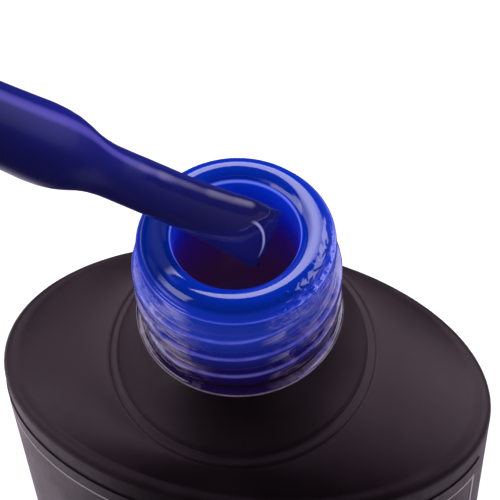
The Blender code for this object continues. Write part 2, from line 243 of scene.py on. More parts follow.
class Finish:
    """A Principled material with a few node helpers; place is what its patterns are laid by."""

    def __init__(self, name, color, roughness, **sockets):
        self.material = bpy.data.materials.new(name)
        self.material.use_nodes = True
        self.tree = self.material.node_tree
        self.shader = self.tree.nodes["Principled BSDF"]
        self.shader.inputs["Base Color"].default_value = (*color, 1)
        self.shader.inputs["Roughness"].default_value = roughness
        for socket, value in sockets.items():
            self.shader.inputs[socket.replace("_", " ")].default_value = value
        self.place = self.tree.nodes.new("ShaderNodeTexCoord").outputs["Object"]

    def node(self, kind, **inputs):
        made = self.tree.nodes.new(kind)
        for key, value in inputs.items():
            socket = made.inputs[key.replace("_", " ")]
            if isinstance(value, bpy.types.NodeSocket):
                self.tree.links.new(value, socket)
            else:
                socket.default_value = value
        return made

    def noise(self, scale, detail, rough=0.55, stretch=(1, 1, 1)):
        at = self.node("ShaderNodeMapping", Vector=self.place, Scale=stretch)
        made = self.node("ShaderNodeTexNoise", Scale=scale, Detail=detail, Roughness=rough)
        self.tree.links.new(at.outputs["Vector"], made.inputs["Vector"])
        return made.outputs["Fac"]

    def ramp(self, value, stops):
        made = self.node("ShaderNodeValToRGB", Fac=value)
        made.color_ramp.interpolation = "EASE"
        marks = made.color_ramp.elements
        while len(marks) < len(stops):
            marks.new(0.5)
        for mark, (position, color) in zip(marks, stops):
            mark.position = position
            mark.color = (*color, 1)
        return made.outputs["Color"]

    def spread(self, value, low, high, to_low=0.0, to_high=1.0):
        made = self.tree.nodes.new("ShaderNodeMapRange")
        made.inputs["From Min"].default_value = low
        made.inputs["From Max"].default_value = high
        made.inputs["To Min"].default_value = to_low
        made.inputs["To Max"].default_value = to_high
        self.tree.links.new(value, made.inputs["Value"])
        return made.outputs["Result"]

    def math(self, kind, a, b=0.0):
        made = self.tree.nodes.new("ShaderNodeMath")
        made.operation = kind
        for socket, value in zip(made.inputs, (a, b)):
            if isinstance(value, bpy.types.NodeSocket):
                self.tree.links.new(value, socket)
            else:
                socket.default_value = value
        return made.outputs["Value"]

    def length(self, a, b):
        """The length of the flat vector (a, b)."""
        return self.math("SQRT", self.math("ADD", self.math("MULTIPLY", a, a),
                                           self.math("MULTIPLY", b, b)))

    def near(self, value, middle, reach, core):
        """1 within core of the middle, falling to 0 at reach."""
        away = self.math("ABSOLUTE", self.math("SUBTRACT", value, middle))
        return self.spread(away, reach, core)

    def facing(self, degrees):
        """Cosine of the angle about Z between this place and a bearing."""
        x, y = self.axis("X"), self.axis("Y")
        along = self.math("ADD", self.math("MULTIPLY", x, math.cos(math.radians(degrees))),
                          self.math("MULTIPLY", y, math.sin(math.radians(degrees))))
        return self.math("DIVIDE", along, self.length(x, y))

    def blend(self, amount, a, b, kind="MIX"):
        made = self.tree.nodes.new("ShaderNodeMix")
        made.data_type = "RGBA"
        made.blend_type = kind
        for key, value in ((0, amount), (6, a), (7, b)):
            socket = made.inputs[key]
            if isinstance(value, bpy.types.NodeSocket):
                self.tree.links.new(value, socket)
            else:
                socket.default_value = value if key == 0 else (*value, 1)
        return made.outputs[2]

    def axis(self, name):
        return self.node("ShaderNodeSeparateXYZ", Vector=self.place).outputs[name]

    def link(self, value, socket):
        self.tree.links.new(value, self.shader.inputs[socket])

    def bump(self, value, depth, strength):
        made = self.node("ShaderNodeBump", Height=value, Strength=strength, Distance=depth)
        self.link(made.outputs["Normal"], "Normal")


def lacquer_finish(name, shine=0.215):
    """Satin black lacquer: faint mottling, fine dust specks and hairline rubs."""
    made = Finish(name, LACQUER, 0.48,
                  Specular_IOR_Level=shine, Specular_Tint=(1, 0.75, 0.95, 1))
    cloud = made.noise(260, 3)
    made.link(made.blend(made.spread(cloud, 0.35, 0.7), LACQUER, [c * 1.5 for c in LACQUER]),
              "Base Color")
    grain = made.noise(5200, 2)
    rubs = made.noise(900, 5, 0.7, stretch=(1, 4, 0.6))
    made.link(made.spread(made.math("ADD", cloud, rubs), 0.7, 1.3, 0.43, 0.55), "Roughness")
    made.bump(grain, 0.006 * MM, 0.5)
    return made.material


def painted_edge_highlights(made, below, on_outside):
    """Painted highlights: bright lines along the thread's upper edges, under the lip, and round
    the bead.
    """
    angle = made.math("ARCTAN2", made.axis("Y"), made.axis("X"))
    wound = made.math("FRACT", made.math("DIVIDE", made.math("SUBTRACT", THREAD_START, angle),
                                         2 * math.pi))
    turns = made.math("SUBTRACT", made.math("DIVIDE", made.math(
        "SUBTRACT", below, THREAD_FIRST), THREAD_PITCH), wound)
    off = made.math("SUBTRACT", turns, made.math("ROUND", turns))
    ridge = made.near(off, HIGHLIGHT_LINE_OFF, 0.030, 0.008)
    on_thread = made.math("MULTIPLY", made.spread(turns, -0.32, -0.26),
                          made.spread(turns, THREAD_TURNS + 0.1, THREAD_TURNS - 0.3))
    collar = made.near(below, COLLAR_DEPTH + 0.04 * MM, 0.04 * MM, 0.01 * MM)
    # noise that makes the painted highlight lines uneven, on the outside only
    highlight_patchiness = made.math("MULTIPLY", made.spread(made.noise(900, 3, 0.6), 0.35, 0.6, 0.55, 1.0),
                     on_outside)
    edges = made.math("MAXIMUM", made.math("MULTIPLY", ridge, on_thread), collar)
    bead = made.near(below, BEAD_DEPTH, 0.15 * MM, 0.07 * MM)
    return made.math("MULTIPLY", edges, highlight_patchiness), made.math("MULTIPLY", bead, highlight_patchiness)


def painted_side_reflection(made, below, on_outside):
    """Streaky painted reflection of the side lights on the thread, strongest at the listed
    bearings.
    """
    streaks = made.spread(made.noise(420, 5, 0.65, stretch=(1, 1, 3.2)), 0.46, 0.58)
    level = made.math("MULTIPLY", made.spread(below, 0.8 * MM, 3.5 * MM),
                      made.spread(below, 10.2 * MM, 8.8 * MM))
    side_reflection = 0.0
    for bearing, reach in SIDE_REFLECTIONS:
        patch = made.spread(made.facing(bearing), reach, min(1.0, reach + 0.16))
        side_reflection = made.math("ADD", side_reflection, patch)
    return made.math("MULTIPLY", made.math("MULTIPLY", side_reflection, streaks),
                     made.math("MULTIPLY", level, on_outside))


def polish_finish():
    """The wet gel on the neck: bright on the lip, darker down the thread and the bore as painted
    shade.
    """
    made = Finish("polish_on_neck", (0.001, 0.014, 0.36), 0.045, IOR=1.55,
                  Emission_Strength=1.0)
    depth = made.spread(made.axis("Z"), RIM + LIP_RISE, RIM - 14 * MM)
    # colour darkens with depth below the rim, outside and in the bore: painted shade
    outside = made.ramp(depth, [
        (0.0, (0.001, 0.018, 0.33)), (0.10, (0.001, 0.021, 0.33)),
        (0.19, (0.005, 0.024, 0.29)), (0.34, (0.004, 0.014, 0.19)),
        (0.48, (0.004, 0.004, 0.070)), (0.60, (0.006, 0.003, 0.030)),
        (0.68, (0.010, 0.006, 0.018)),
    ])
    inside = made.ramp(depth, [
        (0.0, (0.001, 0.017, 0.36)), (0.08, (0.001, 0.022, 0.50)),
        (0.17, (0.001, 0.012, 0.42)), (0.34, (0.003, 0.004, 0.16)),
        (0.55, (0.010, 0.004, 0.055)), (0.9, (0.012, 0.004, 0.022)),
    ])
    # emission, painted light: a glow down the bore with a painted highlight line at its inner
    # edge, and a weaker glow outside
    painted_light_inside = made.ramp(depth, [
        (0.0, (0.0, 0.0, 0.02)), (0.030, (0.0, 0.006, 0.10)), (0.042, (0.13, 0.18, 0.74)),
        (0.056, (0.0, 0.016, 0.26)), (0.12, (0.0, 0.010, 0.22)), (0.24, (0.001, 0.003, 0.12)),
        (0.42, (0.010, 0.002, 0.050)), (0.75, (0.012, 0.003, 0.018)),
    ])
    painted_light_outside = made.ramp(depth, [
        (0.0, (0.0, 0.004, 0.04)), (0.025, (0.0, 0.006, 0.07)), (0.05, (0.004, 0.016, 0.22)),
        (0.17, (0.009, 0.020, 0.20)), (0.30, (0.005, 0.009, 0.13)),
        (0.43, (0.0045, 0.003, 0.047)), (0.58, (0.004, 0.0005, 0.020)),
    ])
    below = made.math("SUBTRACT", RIM, made.axis("Z"))
    radius = made.length(made.axis("X"), made.axis("Y"))
    on_outside = made.spread(radius, 4.5 * MM, 4.9 * MM)
    side_reflection = made.math("MULTIPLY", painted_side_reflection(made, below, on_outside), 0.75)
    # the painted reflection at the sides turns the base colour pale lilac
    coat = made.blend(side_reflection, made.blend(on_outside, inside, outside), (0.20, 0.155, 0.22))
    edges, bead = painted_edge_highlights(made, below, on_outside)
    # the film's emission is painted light: its glow, with the painted highlight lines added
    painted_light = made.blend(on_outside, painted_light_inside, painted_light_outside)
    # painted highlights: lilac lines on the thread and under the lip, a greyer one round the bead
    painted_light = made.blend(edges, painted_light, (0.068, 0.060, 0.24), "ADD")
    painted_light = made.blend(bead, painted_light, (0.11, 0.088, 0.12), "ADD")
    made.link(painted_light, "Emission Color")
    # at that bearing on the lip: lower specular, and base colour darkened by up to 62 %, painted
    # shade
    dull_and_shaded = made.math("MULTIPLY", made.spread(made.facing(SHADED_DULL_BEARING), 0.70, 0.82),
                     made.spread(depth, 0.13, 0.08))
    made.link(made.spread(dull_and_shaded, 0, 1, 0.5, 0.02), "Specular IOR Level")
    made.link(made.blend(made.math("MULTIPLY", dull_and_shaded, 0.62), coat, (0, 0, 0)), "Base Color")
    fine = made.noise(1500, 5, 0.6, stretch=(1, 1, 2.5))
    made.link(made.spread(fine, 0.4, 0.8, 0.035, 0.12), "Roughness")
    made.bump(made.noise(700, 3, 0.5), 0.012 * MM, 0.35)
    return made.material


def brush_finish():
    """Polish held on the tuft and stem: deep navy near the tip, bluer further up; its emission is
    painted light.

    The stem's polish is duller than the tuft's.
    """
    made = Finish("polish_on_brush", (0.004, 0.006, 0.12), 0.05, IOR=1.55,
                  Emission_Strength=1.0, Specular_Tint=(0.88, 0.80, 1, 1))
    # Z is the height above the brush tip and X runs across the tuft, at any pose
    rest = made.node("ShaderNodeAttribute")
    rest.attribute_name = REST_PLACE
    made.place = rest.outputs["Vector"]
    across, height = made.axis("X"), made.axis("Z")
    cloud = made.noise(240, 3, 0.5)
    along = made.spread(height, 0.0, 31 * MM)
    made.link(made.ramp(made.math("ADD", along, made.spread(cloud, 0.3, 0.7, -0.1, 0.1)), [
        (0.0, (0.004, 0.004, 0.060)), (0.12, (0.004, 0.005, 0.085)),
        (0.35, (0.003, 0.006, 0.120)), (0.6, (0.003, 0.006, 0.130)),
        (1.0, (0.002, 0.006, 0.090)),
    ]), "Base Color")
    # a painted highlight: a bright arc where the polish curls over the tip
    away = made.length(made.math("SUBTRACT", across, TIP_HIGHLIGHT_ACROSS),
                       made.math("SUBTRACT", height, TIP_HIGHLIGHT_HEIGHT))
    tip_highlight = made.near(away, TIP_HIGHLIGHT_RADIUS, 0.14 * MM, 0.04 * MM)
    tip_highlight = made.math("MULTIPLY", tip_highlight, made.spread(height, 2.3 * MM, 1.7 * MM))
    tip_highlight = made.math("MULTIPLY", tip_highlight, made.spread(across, 1.5 * MM, 0.3 * MM))
    tip_highlight = made.math("MULTIPLY", tip_highlight, made.spread(made.axis("Y"), 0.1 * MM, 0.3 * MM))
    # a faint glow over the whole coat, painted light, with the painted tip highlight
    painted_light = made.blend(tip_highlight, (0.005, 0.004, 0.026), (0.27, 0.24, 0.50))
    # a painted highlight: a pale streak along one side of the stem and down the waist of the tuft
    run = made.near(made.math("ARCTAN2", made.axis("Y"), across), math.radians(STREAK_HIGHLIGHT_BEARING),
                    math.radians(12), math.radians(4))
    run = made.math("MULTIPLY", run, made.spread(height, 9 * MM, 14 * MM))
    made.link(made.blend(run, painted_light, (0.068, 0.050, 0.225), "ADD"), "Emission Color")
    on_stem = made.spread(height, 11.5 * MM, 14.5 * MM)
    made.link(made.math("ADD", made.spread(made.noise(900, 3), 0.4, 0.8, 0.04, 0.07),
                        made.math("MULTIPLY", on_stem, 0.27)), "Roughness")
    made.link(made.spread(on_stem, 0, 1, 0.5, 0.09), "Specular IOR Level")
    strands = made.noise(1000, 3, 0.5, stretch=(3.0, 1.2, 0.04))
    made.bump(made.math("MULTIPLY", strands, made.spread(height, 14 * MM, 3 * MM)),
              0.02 * MM, 0.35)
    return made.material


def moulded_finish(name, color, roughness, metallic=0.0, grain=2600, lift=0.006 * MM):
    """Moulded plastic, metal or ink: slight mottling, fine grain, uneven gloss."""
    made = Finish(name, color, roughness, Metallic=metallic)
    cloud = made.noise(300, 4)
    made.link(made.blend(made.spread(cloud, 0.3, 0.7), [c * 0.85 for c in color],
                         [min(1.0, c * 1.15) for c in color]), "Base Color")
    made.link(made.spread(cloud, 0.3, 0.7, roughness * 0.8, roughness * 1.2), "Roughness")
    made.bump(made.noise(grain, 3), lift, 0.5)
    return made.material


# ---------------------------------------------------------------- the bottle


def edge_height(angle):
    """Height of the shoulder's edge, which rises towards front and back."""
    return EDGE_HEIGHT + EDGE_RISE * np.sin(angle) ** 2


def thread_ridge(angle, below_first, turns=THREAD_TURNS, flank=GLASS_FLANK):
    """0 to 1 up the right-hand ridge: a short upper flank, a flat crest, a soft underside.

    Lengths along the ridge and across it are in turns.
    """
    wound = (-angle / (2 * math.pi)) % 1.0
    turn = np.round(below_first / THREAD_PITCH - wound)
    along = turn + wound
    off = below_first / THREAD_PITCH - along
    upper = smooth((off + 0.30) / flank)
    under = smooth((0.38 - off) / 0.22)
    run_in = smooth((along + 0.05) / 0.16)
    run_out = smooth((turns - along) / 0.16)
    return upper * under * run_in * run_out


def body_rings():
    """The bottle's outside from the middle of its base, over the edge, to the seat ring."""
    rings = [ellipse(HALF_LENGTH * s, HALF_WIDTH * s, 0.0) for s in (0.02, 0.4, 0.8)]
    for turn in np.radians(np.linspace(0, 90, 10)):
        inset = BASE_RADIUS * (1 - math.sin(turn))
        rings.append(ellipse(HALF_LENGTH - inset, HALF_WIDTH - inset,
                             BASE_RADIUS * (1 - math.cos(turn))))
    for t in np.linspace(0.03, 0.97, 24):
        base, top = BASE_RADIUS, EDGE_HEIGHT - EDGE_RADIUS
        rings.append(ellipse(HALF_LENGTH, HALF_WIDTH, mix(base, top, t)))
    for turn in np.radians(np.linspace(0, 75, 12)):
        inset = EDGE_RADIUS * (1 - math.cos(turn))
        drop = EDGE_RADIUS * (1 - math.sin(turn))
        rings.append(ellipse(HALF_LENGTH - inset, HALF_WIDTH - inset * 0.7,
                             lambda a, drop=drop: edge_height(a) - drop))
    seat = RIM - SEAT_DEPTH
    for t in np.linspace(0.02, 0.985, 34):
        climb = 1 - (1 - t) ** SHOULDER_CROWN
        rings.append(ellipse(
            mix(HALF_LENGTH - EDGE_RADIUS, SEAT_RADIUS, t),
            mix(HALF_WIDTH - EDGE_RADIUS * 0.6, SEAT_RADIUS, t),
            lambda a, climb=climb: mix(edge_height(a), seat - 0.25 * MM, climb)))
    return rings


def cove_outline():
    """(radius, depth) from the seat's groove and bead up the hollow cone to the neck."""
    outline = [
        (SEAT_RADIUS, SEAT_DEPTH + 0.15 * MM),
        (SEAT_RADIUS - 0.06 * MM, SEAT_DEPTH - 0.02 * MM),
        (SEAT_RADIUS - 0.17 * MM, SEAT_DEPTH - 0.12 * MM),
        (SEAT_RADIUS - 0.30 * MM, SEAT_DEPTH - 0.15 * MM),
        (SEAT_RADIUS - 0.44 * MM, SEAT_DEPTH - 0.12 * MM),
        (SEAT_RADIUS - 0.55 * MM, SEAT_DEPTH - 0.13 * MM),
        (SEAT_RADIUS - 0.65 * MM, SEAT_DEPTH - 0.27 * MM),
    ]
    for t in np.linspace(0, 1, 22):
        hollow = COVE_HOLLOW * math.sin(math.pi * t)
        outline.append((
            mix(SEAT_RADIUS - 0.75 * MM, COVE_TOP_RADIUS, t) - hollow,
            mix(SEAT_DEPTH - 0.6 * MM, BEAD_DEPTH + 0.55 * MM, t) + hollow * 0.5,
        ))
    return outline


def bead_outline():
    """The small ring at the neck's foot, as (radius, depth)."""
    bulge = 0.3 * MM
    return [(BEAD_RADIUS - bulge + bulge * math.cos(turn), BEAD_DEPTH - bulge * math.sin(turn))
            for turn in np.radians(np.linspace(-60, 112, 15))]


def lip_outline(steps, first):
    """(radius, depth) over the rounded lip, from outside to the bore."""
    tube = (LIP_RADIUS - BORE_RADIUS) / 2
    return [(BORE_RADIUS + tube + tube * math.cos(turn), tube - LIP_RISE - tube * math.sin(turn))
            for turn in np.radians(np.linspace(first, 180, steps))]


def neck_radii(depth, angle, fill=0.0, flank=GLASS_FLANK):
    """Radius of root and thread; fill is the depth of polish lying in the grooves."""
    ridge = thread_ridge(angle - THREAD_START, depth - THREAD_FIRST, flank=flank)
    return NECK_ROOT + fill + (THREAD_HEIGHT - fill) * ridge


def glass_bottle():
    """The glass: its outside up to the lip, then down the bore and round the cavity."""
    rings = body_rings()
    rings += [ellipse(r, r, RIM - d) for r, d in cove_outline() + bead_outline()]
    angle = full_turn(SIDES)
    for depth in np.arange(BEAD_DEPTH - 0.55 * MM, 0.5 * MM, -0.12 * MM):
        rings.append(ring(neck_radii(depth, angle) - UNDER_POLISH, RIM - depth, angle))
    rings += [ellipse(r, r, RIM - d) for r, d in lip_outline(16, 8)]
    rings += [ellipse(BORE_RADIUS, BORE_RADIUS, RIM - d * MM) for d in (3.0, 6.0, 9.0, 11.2)]
    widening = [
        (4.95, 4.92, 12.9), (6.5, 6.1, 14.9), (10.5, 7.7, 17.2), (14.8, 8.8, 19.4),
    ]  # half length, half width and depth, in millimetres
    rings += [ellipse(x * MM, y * MM, RIM - d * MM) for x, y, d in widening]
    long_half, wide_half = HALF_LENGTH - WALL, HALF_WIDTH - WALL
    rings.append(ellipse(long_half, wide_half, RIM - 22.0 * MM))
    for turn in np.radians(np.linspace(0, 90, 8)):
        inset = FLOOR_RADIUS * (1 - math.cos(turn))
        rise = FLOOR_RADIUS * (1 - math.sin(turn))
        rings.append(ellipse(long_half - inset, wide_half - inset, FLOOR_TOP + rise))
    shell = lofted("bottle_glass", np.array(rings), lacquer_finish("satin_black_lacquer"))
    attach(shell, "bottle")
    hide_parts("glass_bottle")


def film_ripples(angle, depth):
    """The polish's dried ripples, about -1 to 1, finer down the neck than round it."""
    values = np.zeros(angle.shape)
    for at in np.ndindex(angle.shape):
        place = Vector((math.cos(angle[at]) * 12, math.sin(angle[at]) * 12,
                        depth[at] / MM * 4.4))
        values[at] = noise.noise(place) + 0.5 * noise.noise(place * 2.4)
    return values


def rippled(angle, depth, radius):
    """0 to 1 where the polish is rippled: a crust at front right and runs at left."""
    right = smooth((np.cos(angle - math.radians(-22)) - 0.72) / 0.2)
    left = smooth((np.cos(angle - math.radians(-130)) - 0.6) / 0.3)
    upper = smooth((2.6 * MM - depth) / (1.2 * MM))
    lower = smooth((depth - 0.9 * MM) / (0.8 * MM))
    outside = smooth((radius - 5.7 * MM) / (0.5 * MM))
    return (right * upper + 0.3 * left * lower) * outside


def neck_polish():
    """The film that wets the neck, lip and bore, thicker in the grooves and on the lip."""
    angle = full_turn(480)
    rows = bead_outline()
    for depth in np.arange(BEAD_DEPTH - 0.3 * MM, 0.5 * MM, -0.035 * MM):
        collar = smooth((depth - COLLAR_DEPTH) / (0.08 * MM))
        rows.append((neck_radii(depth, angle, GROOVE_FILL * collar, POLISH_FLANK), depth))
    rows += lip_outline(44, 4)
    rows += [(BORE_RADIUS, depth) for depth in np.linspace(0.6, 12.5, 50) * MM]
    points = np.array([ring(radius, RIM - depth, angle) for radius, depth in rows])
    along = np.gradient(points, axis=0)
    across = np.roll(points, -1, 1) - np.roll(points, 1, 1)
    normal = np.cross(across, along)
    normal /= np.linalg.norm(normal, axis=-1, keepdims=True)
    around = np.broadcast_to(angle, points.shape[:2])
    depth = RIM - points[..., 2]
    radius = np.hypot(points[..., 0], points[..., 1])
    ripple = RIPPLE * film_ripples(around, depth) * rippled(around, depth, radius)
    thickness = POLISH_FILM + ripple
    foot = smooth((BEAD_DEPTH + 0.1 * MM - depth) / (1.6 * MM))
    thickness = np.where(radius > 5 * MM, thickness * mix(0.35, 1.0, foot), thickness)
    outside = points + normal * thickness[..., None]
    inside = points - normal * POLISH_FILM
    rings = np.concatenate([outside, inside[::-1]])
    film = lofted("neck_polish", rings, polish_finish(), "joined")
    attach(film, "bottle")


def polish_fill():
    """The liquid in the bottle, with the run for the mixing balls on its underside."""
    node = frame["nodes"]["polish_fill"]
    # its faint emission is painted light, a glow
    made = Finish("cobalt_liquid", (0.001, 0.012, 0.25), 0.06, IOR=1.5,
                  Emission_Color=(0.012, 0.004, 0.022, 1), Emission_Strength=1.0)
    made.link(made.blend(made.spread(made.noise(200, 3), 0.3, 0.7), (0.001, 0.010, 0.20),
                         (0.001, 0.016, 0.30)), "Base Color")
    node.data.materials.clear()
    node.data.materials.append(made.material)


def label_band(name, low, high, first, last, lift, depth, finish):
    """A strip that follows the wall from one angle to another, lift above it."""
    rings = []
    for angle in np.linspace(first, last, 160):
        rings.append([
            ((HALF_LENGTH + out) * math.cos(angle), (HALF_WIDTH + out) * math.sin(angle), z)
            for out, z in ((lift, low), (lift + depth, low), (lift + depth, high), (lift, high))
        ])
    made = lofted(name, np.array(rings), finish)
    made.data.set_sharp_from_angle(angle=math.radians(40))
    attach(made, "bottle")
    return made


def front_label():
    """The thin film round the front, and the pale frame line printed near its edge."""
    label_low, label_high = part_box("front_label")
    front, half = math.radians(-90), math.radians(LABEL_HALF_ANGLE)
    sheet = label_band("label_sheet", label_low.z, label_high.z, front - half, front + half,
                       LABEL_LIFT, LABEL_THICKNESS, lacquer_finish("label_film", shine=0.36))
    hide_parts("front_label")
    low, high = label_low.z + LINE_MARGIN, label_high.z - LINE_MARGIN
    first, last = front - half + LINE_SHY, front + half - LINE_SHY
    step = 1.6 * LINE_WIDTH / HALF_LENGTH  # the wall turns faster at the label's ends
    ink = moulded_finish("pale_ink", (0.42, 0.40, 0.43), 0.5)
    for name, *place in (
            ("top", high - LINE_WIDTH, high, first, last),
            ("foot", low, low + LINE_WIDTH, first, last),
            ("left", low + LINE_WIDTH, high - LINE_WIDTH, first, first + step),
            ("right", low + LINE_WIDTH, high - LINE_WIDTH, last - step, last)):
        label_band("label_line_" + name, *place, LABEL_LIFT + LABEL_THICKNESS, INK_DEPTH, ink)


# ---------------------------------------------------------------- the wand


def wand_matrix():
    """From wand coordinates, with the brush tip at the origin, to the tilted wand's place."""
    matrix = Matrix.Translation(TIP)
    for axis, degrees in WAND_TURNS:
        matrix = matrix @ Matrix.Rotation(math.radians(degrees), 4, axis)
    return matrix


WAND = wand_matrix()


def on_wand(obj, body, node):
    """Lay a piece made in wand coordinates along the tilted wand, in its node's place."""
    obj.data.transform(WAND)
    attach(obj, body)
    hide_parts(node)


# (height, half width, half thickness) of the polish over tuft and stem, in millimetres
COAT = (
    (-0.26, 1.72, 0.26), (-0.20, 1.90, 0.38), (-0.06, 2.03, 0.50), (0.2, 2.12, 0.60),
    (0.8, 2.14, 0.70), (2.0, 2.06, 0.80), (4.2, 1.88, 0.90), (6.8, 1.74, 1.00),
    (9.2, 1.71, 1.10), (11.2, 1.70, 1.20), (13.0, 1.68, 1.34), (14.4, 1.68, 1.48),
    (15.4, 1.78, 1.66), (16.2, 1.94, 1.88), (17.0, 2.18, 2.16), (17.9, 2.40, 2.38),
    (18.9, 2.52, 2.50), (20.0, 2.55, 2.54), (21.6, 2.48, 2.46), (24.0, 2.40, 2.38),
    (28.0, 2.34, 2.33), (32.0, 2.30, 2.30), (34.0, 2.26, 2.26), (34.5, 2.16, 2.16),
)


def coat_sizes(count):
    """COAT with more heights between, its corners rounded off except near the tip."""
    known, *sizes = np.array(COAT).T
    fine = np.linspace(known[0], known[-1], 4 * count)
    kernel = np.hanning(31)
    kernel /= kernel.sum()
    above_tip = smooth((fine - 1.0) / 1.5)
    heights = np.concatenate([np.linspace(known[0], 0.8, 26),
                              np.linspace(0.8, known[-1], count)[1:]])
    result = [heights]
    for size in sizes:
        exact = np.interp(fine, known, size)
        blurred = np.convolve(np.pad(exact, 15, mode="edge"), kernel, "valid")
        result.append(np.interp(heights, fine, mix(exact, blurred, above_tip)))
    return result


def brush_coat():
    """Polish over tuft and stem: flat with full rounded sides at the tuft, round above."""
    angle = full_turn(144)
    c, s = np.cos(angle), np.sin(angle)
    rings = []
    for height, half_x, half_y in zip(*coat_sizes(260)):
        sideways = 0.16 * smooth((2.6 - height) / 2.6)
        power = mix(2.0, 2.3, smooth((15.0 - height) / 6.0))
        x = half_x * np.sign(c) * np.abs(c) ** (2 / power) + sideways
        y = half_y * np.sign(s) * np.abs(s) ** (2 / power)
        rings.append(np.stack([x, y, np.full(len(angle), height)], -1) * MM)
    rings = np.array(rings)
    coat = lofted("brush_polish", rings, brush_finish())
    rest = coat.data.attributes.new(REST_PLACE, "FLOAT_VECTOR", "POINT")
    rest.data.foreach_set("vector", rings.reshape(-1))
    coat.data.transform(WAND)
    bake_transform(coat)


# (height, half width, half thickness) of the tuft under the polish, in millimetres
TUFT = (
    (0.0, 1.95, 0.42), (3.4, 1.74, 0.50), (6.8, 1.48, 0.56), (11.0, 1.40, 0.70),
    (14.5, 1.30, 0.85), (17.3, 0.95, 0.90), (19.0, 0.80, 0.80),
)
FILAMENT_RADIUS = 0.055


def bristle_tuft():
    """Filaments of the tuft, whose square-cut ends just show through the polish."""
    vertices, faces = [], []
    sides = 6
    columns, layers = 33, 5
    known, half_widths, half_depths = np.array(TUFT).T
    for layer in range(layers):
        for column in range(columns):
            u = 2 * column / (columns - 1) - 1
            v = 2 * layer / (layers - 1) - 1
            v *= math.sqrt(max(0.0, 1 - 0.75 * u * u))
            jitter = noise.noise(Vector((u * 31, v * 17, 0.5)))
            start = len(vertices)
            heights = (-0.30 + 0.10 * jitter, 4.0, 9.0, 14.0, 19.0)
            for height in heights:
                x = u * np.interp(height, known, half_widths)
                y = v * np.interp(height, known, half_depths)
                for turn in full_turn(sides):
                    vertices.append(((x + FILAMENT_RADIUS * math.cos(turn)) * MM,
                                     (y + FILAMENT_RADIUS * math.sin(turn)) * MM, height * MM))
            last = start + (len(heights) - 1) * sides
            for row in range(start, last, sides):
                for k in range(sides):
                    a, b = row + k, row + (k + 1) % sides
                    faces.append((a, b, b + sides, a + sides))
            faces.append(tuple(start + k for k in reversed(range(sides))))
            faces.append(tuple(last + k for k in range(sides)))
    finish = moulded_finish("wet_nylon", (0.02, 0.025, 0.17), 0.25)
    tuft = object_of("bristle_filaments", vertices, faces, finish)
    on_wand(tuft, "brush", "bristles")


def stem():
    """Rod with the tuft's socket at its foot, and the flange and plug that the cap holds."""
    flange = SEAL_HEIGHT + LINER_THICKNESS + GAP
    flange_top = flange + FLANGE_THICKNESS
    plug_top = flange_top + 3.3 * MM
    outline = rounded([
        (MIDDLE, SOCKET_TOP), (SOCKET_RADIUS, SOCKET_TOP), (SOCKET_RADIUS, STEM_END),
        (STEM_RADIUS, STEM_END), (STEM_RADIUS + 0.05 * MM, 30 * MM),
        (STEM_RADIUS + 0.15 * MM, flange - 1.2 * MM), (STEM_RADIUS + 0.35 * MM, flange),
        (FLANGE_RADIUS, flange), (FLANGE_RADIUS, flange_top), (PLUG_RADIUS, flange_top),
        (PLUG_RADIUS, plug_top), (MIDDLE, plug_top),
    ], 0.3 * MM)
    finish = moulded_finish("stem_polyethylene", (0.02, 0.02, 0.024), 0.38)
    on_wand(turned("wand_stem", outline, finish, 96), "wand", "stem")


def seal_liner():
    """The soft washer that seals on the lip."""
    foot, top = SEAL_HEIGHT, SEAL_HEIGHT + LINER_THICKNESS
    outline = rounded([(LINER_BORE, foot), (LINER_RADIUS, foot), (LINER_RADIUS, top),
                       (LINER_BORE, top)], 0.18 * MM, closed=True)
    finish = moulded_finish("liner_foam", (0.8, 0.8, 0.78), 0.75, grain=3800, lift=0.03 * MM)
    on_wand(turned("liner_ring", outline, finish, 96, closed=True), "seal",
            "seal_liner")


def inner_cap():
    """Screw cap with its internal thread."""
    plate = SEAL_HEIGHT + LINER_THICKNESS + 2 * GAP + FLANGE_THICKNESS
    top = plate + 1.5 * MM
    hole, seat = PLUG_RADIUS + 0.35 * MM, FLANGE_RADIUS + 0.35 * MM
    angle = full_turn(128)
    outside = rounded([
        (INNER_CAP_ROOT + 0.15 * MM, INNER_CAP_FOOT), (INNER_CAP_RADIUS, INNER_CAP_FOOT),
        (INNER_CAP_RADIUS, top), (hole, top), (hole, plate), (seat, plate),
        (seat, SEAL_HEIGHT + 0.6 * MM),
    ], 0.25 * MM)
    rings = [ring(r, z, angle) for r, z in outside]
    for height in np.arange(SEAL_HEIGHT, INNER_CAP_FOOT + 0.4 * MM, -0.16 * MM):
        ridge = thread_ridge(angle, SEAL_HEIGHT - 1.6 * MM - height, 2.5)
        rings.append(ring(INNER_CAP_ROOT - 0.6 * MM * ridge, height, angle))
    finish = moulded_finish("inner_polypropylene", (0.016, 0.016, 0.018), 0.32)
    cap = lofted("screw_cap", np.array(rings), finish, "joined")
    on_wand(cap, "wand", "inner_cap")


